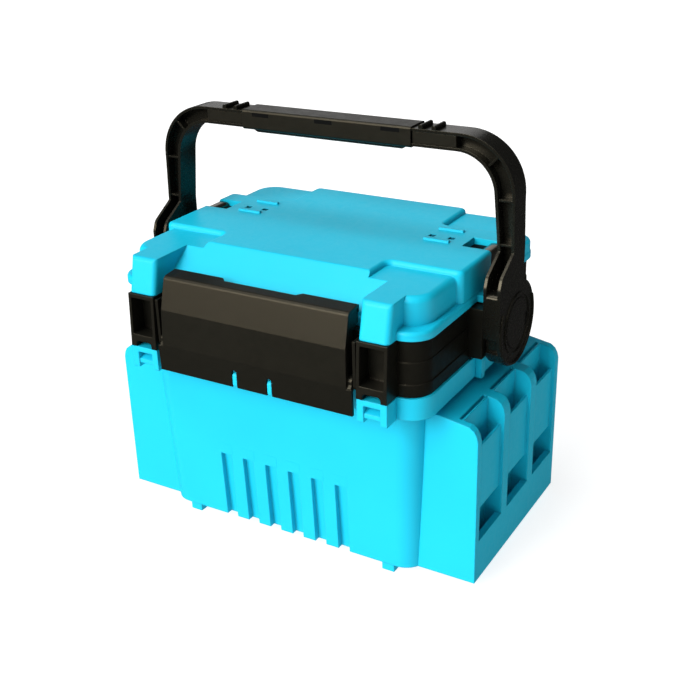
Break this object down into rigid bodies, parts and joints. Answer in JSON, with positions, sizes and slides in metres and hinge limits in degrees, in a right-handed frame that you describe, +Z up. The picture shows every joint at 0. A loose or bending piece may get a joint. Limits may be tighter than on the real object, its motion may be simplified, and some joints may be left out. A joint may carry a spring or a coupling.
{
  "type": "fishing tackle cabinet",
  "caption": "Carried tackle box: drafted tub with open side pockets, black middle tier with a tray, stepped lid, wide front latch and a swing handle.",
  "frame": {"origin": "on the floor under the middle of the cabinet, between the side racks", "axes": "+Z up, -Y the latch side, +X towards the right side rack"},
  "size_m": [0.3824, 0.2732, 0.392],
  "materials": {
    "cyan_plastic": "satin",
    "black_plastic": "satin",
    "steel_pin": "brushed"
  },
  "bodies": {
    "tub": {"tub_shell": "cyan_plastic", "feet": "cyan_plastic", "pocket_rack_right": "cyan_plastic", "pocket_rack_left": "cyan_plastic", "front_brackets": "cyan_plastic", "latch_keepers": "cyan_plastic", "tub_side_lugs": "cyan_plastic", "tub_hinge_knuckles": "cyan_plastic", "tub_hinge_pins": "steel_pin"},
    "tier": {"tier_frame": "black_plastic", "tier_tray": "black_plastic", "tray_dividers": "black_plastic", "front_sockets": "black_plastic", "latch_pivot_plates": "black_plastic", "latch_pins": "steel_pin", "handle_bosses": "black_plastic", "handle_pivot_bolts": "black_plastic", "tier_lower_knuckles": "black_plastic", "tier_upper_knuckles": "black_plastic", "lid_hinge_pins": "steel_pin"},
    "lid": {"lid_shell": "cyan_plastic", "lid_side_catches": "black_plastic", "lid_hinge_knuckles": "cyan_plastic"},
    "latch": {"latch_panel": "black_plastic"},
    "handle": {"handle_bail": "black_plastic", "grip_cover": "black_plastic", "bar_ridges": "black_plastic", "hub_caps": "black_plastic"}
  },
  "joints": [
    {"name": "tier_hinge", "type": "hinge", "parent": "tub", "child": "tier", "pos_m": [0, 0.1329, 0.195], "axis": [-1, 0, 0], "range_deg": [0, 95]},
    {"name": "lid_hinge", "type": "hinge", "parent": "tier", "child": "lid", "pos_m": [0, 0.1329, 0.246], "axis": [-1, 0, 0], "range_deg": [0, 26]},
    {"name": "latch_hinge", "type": "hinge", "parent": "tier", "child": "latch", "pos_m": [0, -0.1285, 0.2065], "axis": [1, 0, 0], "range_deg": [0, 20]},
    {"name": "handle_hinge", "type": "hinge", "parent": "tier", "child": "handle", "pos_m": [0, 0.0097, 0.2228], "axis": [-1, 0, 0], "range_deg": [0, 90]}
  ]
}
